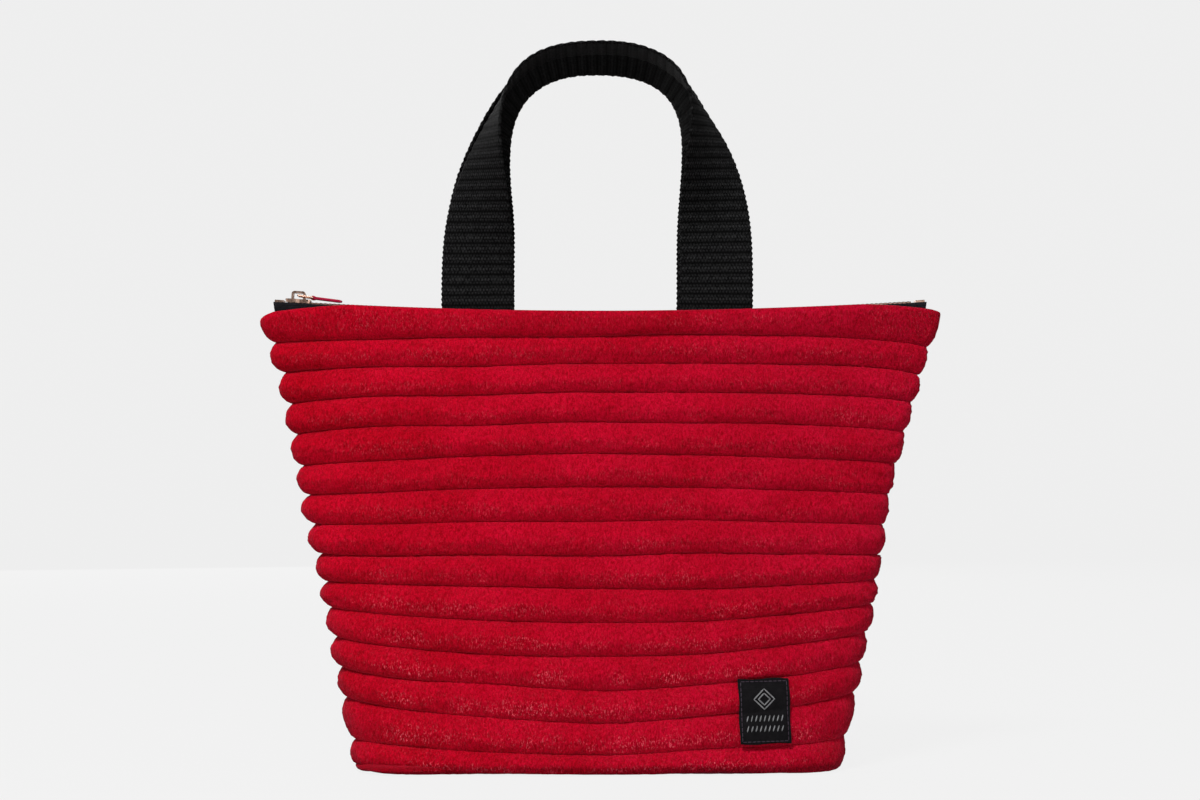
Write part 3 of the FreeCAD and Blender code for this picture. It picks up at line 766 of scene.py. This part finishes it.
def thread_runs(name, runs, radius, lift):
    """Short lengths of thread on the label. A run is a list of (a, b) points."""
    sides = 6
    points, faces = [], []
    for run in runs:
        run = np.array(run)
        start, count = len(points), len(run)
        for i, (a, b) in enumerate(run):
            before, after = run[max(0, i - 1)], run[min(count - 1, i + 1)]
            way = (after - before) / max(1e-9, np.linalg.norm(after - before))
            taper = 0.35 if i in (0, count - 1) else 1.0
            for s in range(sides):
                turn = 2 * math.pi * s / sides
                off = radius * taper * math.cos(turn)
                h = lift + radius * taper * 0.7 * math.sin(turn)
                points.append(on_label(np.array(a - way[1] * off), np.array(b + way[0] * off), np.array(h)))
        for i in range(count - 1):
            for s in range(sides):
                s2 = (s + 1) % sides
                faces.append((start + i * sides + s, start + i * sides + s2,
                              start + (i + 1) * sides + s2, start + (i + 1) * sides + s))
        faces.append(tuple(start + s for s in reversed(range(sides))))
        faces.append(tuple(start + (count - 1) * sides + s for s in range(sides)))
    return mesh_object(name, points, faces)


def border_stitches():
    """Two rows of stitches across the label and two up it, just inside its edge."""
    runs = []
    w, h = LABEL_HALF[0] - BORDER_INSET, LABEL_HALF[1] - BORDER_INSET
    for count, fixed, span, across in ((10, h, w, True), (12, w, h, False)):
        for k in range(count):
            low = -span + 2 * span * k / count + STITCH_GAP / 2
            high = -span + 2 * span * (k + 1) / count - STITCH_GAP / 2
            for sign in (-1, 1):
                line = np.linspace(low, high, 6)
                runs.append([(v, sign * fixed) if across else (sign * fixed, v) for v in line])
    return runs


def motif_runs():
    """A plain woven pattern: nested diamonds over two bars of short slanting stitches."""
    runs = []
    for size in DIAMONDS:
        corners = [(0, size), (size, 0), (0, -size), (-size, 0), (0, size)]
        path = []
        for (x1, y1), (x2, y2) in zip(corners, corners[1:]):
            path += [(x1 + (x2 - x1) * f, y1 + (y2 - y1) * f + DIAMOND_MIDDLE)
                     for f in np.linspace(0, 1, 6)[:-1]]
        runs.append(path + [path[0]])
    for level in BARS:
        for k in range(BAR_STITCHES):
            x = BAR_START + k * BAR_PITCH
            runs.append([(x - 0.0005 + f * 0.001, level - 0.0015 + f * 0.003) for f in np.linspace(0, 1, 5)])
    return runs


# ---------------------------------------------------------------- camera
def place_camera():
    data = bpy.data.cameras.new("camera")
    data.sensor_width = SENSOR_WIDTH
    data.lens = SENSOR_WIDTH * CAMERA_DISTANCE / FRAME_WIDTH
    data.shift_y = CAMERA_SHIFT
    data.clip_start, data.clip_end = 0.05, 30
    camera = bpy.data.objects.new("camera", data)
    camera.location = (CAMERA_X, -CAMERA_DISTANCE, CAMERA_HEIGHT)
    camera.rotation_euler = (math.radians(90), 0, 0)
    bpy.context.scene.collection.objects.link(camera)
    bpy.context.scene.camera = camera


place_camera()

# ---------------------------------------------------------------- build
front = dress(plush_panel("plush_front", False, 11), PLUSH, "bag")
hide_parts("front_panel")
back = dress(plush_panel("plush_back", True, 23), PLUSH, "bag")
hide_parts("back_panel")
base = dress(base_layer("plush_base", 0.0, PLUSH_BASE_THICKNESS, PLUSH_BASE_INSET, ribbed=True), PLUSH,
             "bag")
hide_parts("base_panel")

for back_side, word in ((False, "front"), (True, "back")):
    z_low, z_high = edge("foam_" + word, 0, "z"), edge("foam_" + word, 1, "z")
    foam = dress(smooth_wall("padding_" + word, z_low, z_high, *FOAM_INSETS, back_side), FOAM, "bag")
    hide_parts("foam_" + word)
    z_low, z_high = edge("lining_" + word, 0, "z"), edge("lining_" + word, 1, "z")
    cloth = dress(smooth_wall("lining_cloth_" + word, z_low, z_high, *LINING_INSETS, back_side), LINING,
                  "bag")
    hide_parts("lining_" + word)

for node, name, inset, material, slot in (
        ("foam_base", "padding_base", PLUSH_BASE_INSET, FOAM, "padding"),
        ("base_board", "stiffener_base", INNER_BASE_INSET, BOARD, "board"),
        ("lining_base", "lining_cloth_base", INNER_BASE_INSET, LINING, "lining")):
    made = dress(base_layer(name, edge(node, 0, "z"), edge(node, 1, "z"), inset), material, "bag")
    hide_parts(node)

for name, node, tails, body, centre_x, half_spacing, top_lift, side, seed in (
        ("webbing_front", "front_handle", "front_handle_tails", "front_handle", -0.0020, 0.0626, 0.0, -1, 41),
        ("webbing_back", "back_handle", "back_handle_tails", "back_handle", -0.0029, 0.0621, 0.0009, 1, 47)):
    strap = handle(name, centre_x, half_spacing, top_lift, side, seed)
    dress(strap, WEBBING, None)
    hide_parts(node, tails)
    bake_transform(strap)

for name, node, side in (("tape_front", "zip_tape_front", -1), ("tape_back", "zip_tape_back", 1)):
    tape = dress(zip_tape(name, side), TAPE, "bag")
    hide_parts(node)

tab = dress(pull_tab("pull_strip"), PULL, "pull")
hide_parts("pull_tab")

patch = dress(label_cloth("label_patch"), LABEL, "bag")
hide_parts("label")
stitches = dress(thread_runs("label_border_stitches", border_stitches(), 0.00022, 0.0007), THREAD, "bag")
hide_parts("label_stitching")
dress(thread_runs("label_pattern", motif_runs(), 0.00032, 0.0006), MOTIF, "bag")

for node, material in (("teeth_front", ZIP_METAL), ("teeth_back", ZIP_METAL), ("top_stops", COPPER),
                       ("bottom_stop", COPPER), ("slider", COPPER), ("pull_link", COPPER)):
    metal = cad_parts[node]
    metal.data.materials.clear()
    metal.data.materials.append(material)
    if node in ("slider", "top_stops", "bottom_stop"):
        soften = metal.modifiers.new("soft_edges", "BEVEL")
        soften.width = 0.0002
        soften.segments = 2
        soften.limit_method = "ANGLE"


# ---------------------------------------------------------------- stage and light
def stage():
    """A pale floor that curves up into a round wall."""
    floor, bend, wall = 3.0, 1.0, 3.5
    profile = [(0.0, 0.0), (1.0, 0.0), (floor, 0.0)]
    profile += [(floor + bend * math.sin(math.radians(a)), bend - bend * math.cos(math.radians(a)))
                for a in range(10, 91, 10)]
    profile.append((floor + bend, wall))
    turns = 64
    points = [(0.0, 0.0, 0.0)]
    for r, z in profile[1:]:
        points += [(r * math.cos(2 * math.pi * k / turns), r * math.sin(2 * math.pi * k / turns), z)
                   for k in range(turns)]
    faces = [(0, 1 + k, 1 + (k + 1) % turns) for k in range(turns)]
    for i in range(len(profile) - 2):
        for k in range(turns):
            k2 = (k + 1) % turns
            inner, outer = 1 + i * turns, 1 + (i + 1) * turns
            faces.append((inner + k, outer + k, outer + k2, inner + k2))
    obj = mesh_object("studio_floor", points, faces)
    m = Material("studio_paper", Roughness=1.0, Specular_IOR_Level=0.0,
                 Emission_Color=(1.0, 1.0, 1.0, 1.0), Emission_Strength=0.852)
    m.shader.inputs["Base Color"].default_value = (0.030, 0.030, 0.030, 1)
    obj.data.materials.append(m.material)
    obj.visible_diffuse = False
    obj.visible_glossy = False
    obj.visible_shadow = False


def area_light(name, place, aim, size, power):
    data = bpy.data.lights.new(name, "AREA")
    data.shape = "DISK"
    data.size = size
    data.energy = power
    obj = bpy.data.objects.new(name, data)
    obj.location = place
    way = Vector(aim) - Vector(place)
    obj.rotation_euler = way.to_track_quat("-Z", "Y").to_euler()
    bpy.context.scene.collection.objects.link(obj)


def sky():
    """Soft light from all round, weaker from below."""
    world = bpy.data.worlds.new("studio")
    world.use_nodes = True
    tree = world.node_tree
    coordinates = tree.nodes.new("ShaderNodeTexCoord")
    split = tree.nodes.new("ShaderNodeSeparateXYZ")
    ramp = tree.nodes.new("ShaderNodeMapRange")
    ramp.inputs["From Min"].default_value = -0.9
    ramp.inputs["From Max"].default_value = 0.9
    ramp.inputs["To Min"].default_value = 0.52
    ramp.inputs["To Max"].default_value = 0.76
    tree.links.new(coordinates.outputs["Generated"], split.inputs[0])
    tree.links.new(split.outputs["Z"], ramp.inputs["Value"])
    tree.links.new(ramp.outputs["Result"], tree.nodes["Background"].inputs["Strength"])
    bpy.context.scene.world = world


stage()
for name, place, aim_height, size, power in (
        ("key", (-0.5, -1.3, 1.9), 0.12, 0.6, 46), ("fill", (0.5, -2.0, 0.45), 0.12, 1.4, 7),
        ("left", (-1.9, -0.5, 0.5), 0.12, 1.0, 10), ("right", (1.9, -0.5, 0.5), 0.12, 1.0, 10),
        ("bounce", (0.0, -1.3, -0.9), 0.2, 1.6, 11), ("rear", (-0.6, 2.0, 1.0), 0.15, 2.4, 28)):
    area_light(name, place, (0, 0, aim_height), size, power)
sky()
bpy.context.scene.view_settings.view_transform = "Standard"
